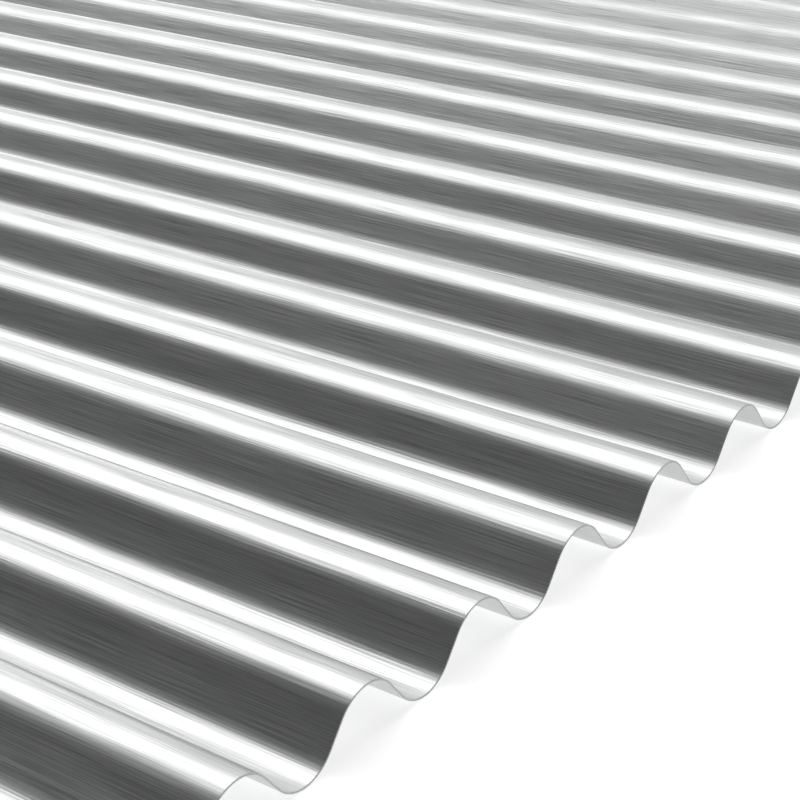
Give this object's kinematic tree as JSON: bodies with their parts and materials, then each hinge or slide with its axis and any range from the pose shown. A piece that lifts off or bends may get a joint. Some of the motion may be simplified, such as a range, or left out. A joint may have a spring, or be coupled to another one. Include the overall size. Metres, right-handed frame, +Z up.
{
  "type": "corrugated metal sheet",
  "caption": "Long steel sheet rolled into even rounded waves, with square-cut ends and side edges that finish in a trough.",
  "frame": {"origin": "centre of the sheet in plan, on the plane that its troughs rest on", "axes": "+X along the corrugations, +Y across them, +Z up from the troughs to the crests"},
  "size_m": [2.4384, 1.2192, 0.0229],
  "materials": {
    "steel": "satin, with a fine grain along the corrugations"
  },
  "bodies": {
    "root": {"corrugated_sheet": "steel"}
  },
  "joints": []
}
